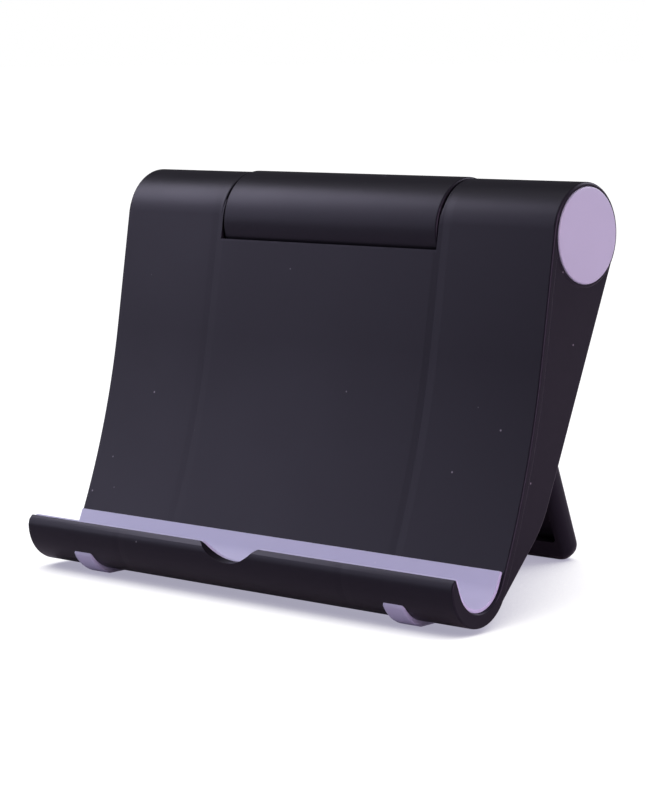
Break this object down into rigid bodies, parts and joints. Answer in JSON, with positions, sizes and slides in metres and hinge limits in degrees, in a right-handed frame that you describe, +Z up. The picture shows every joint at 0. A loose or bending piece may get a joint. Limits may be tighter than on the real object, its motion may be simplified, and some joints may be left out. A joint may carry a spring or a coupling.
{
  "type": "folding phone stand",
  "caption": "Folding desk stand for a phone: a curved back plate with a lined, notched trough, held up by a hinged rear leg that turns between two side barrels.",
  "frame": {"origin": "centre of the bounding box in X and Y, on the table at Z = 0, with the leg opened as it stands", "axes": "+X along the hinge towards the side seen on the right from in front, +Y to the rear, +Z up"},
  "size_m": [0.1034, 0.0725, 0.0745],
  "materials": {
    "shell_plastic": "satin moulded, near-black",
    "leg_plastic": "satin moulded, near-black",
    "cap_plastic": "semi-gloss lilac",
    "liner_silicone": "matt lilac silicone",
    "foot_silicone": "matt lilac silicone",
    "detent_acetal": "natural moulded",
    "bolt_steel": "zinc plated",
    "spring_steel": "bright drawn wire"
  },
  "bodies": {
    "cradle": {"cradle": "shell_plastic", "trough_liner": "liner_silicone", "front_foot_left": "foot_silicone", "front_foot_right": "foot_silicone", "end_cap_left": "cap_plastic", "end_cap_right": "cap_plastic", "axle_bolt": "bolt_steel", "axle_nut": "bolt_steel", "axle_washer_left": "bolt_steel", "axle_washer_right": "bolt_steel", "detent_plate_left": "detent_acetal", "detent_plate_right": "detent_acetal"},
    "leg": {"leg": "leg_plastic", "spring_left": "spring_steel", "spring_right": "spring_steel"},
    "follower_left": {"detent_follower_left": "detent_acetal"},
    "follower_right": {"detent_follower_right": "detent_acetal"}
  },
  "joints": [
    {"name": "leg_hinge", "type": "hinge", "parent": "cradle", "child": "leg", "pos_m": [0, 0.00122, 0.06504], "axis": [1, 0, 0], "range_deg": [-45, 75]},
    {"name": "follower_slide_left", "type": "slide", "parent": "leg", "child": "follower_left", "axis": [1, 0, 0], "range_m": [0, 0.0009], "stiffness_N_per_m": 2000, "springref_m": -0.002, "deforming": ["spring_left"]},
    {"name": "follower_slide_right", "type": "slide", "parent": "leg", "child": "follower_right", "axis": [-1, 0, 0], "range_m": [0, 0.0009], "stiffness_N_per_m": 2000, "springref_m": -0.002, "deforming": ["spring_right"]}
  ]
}
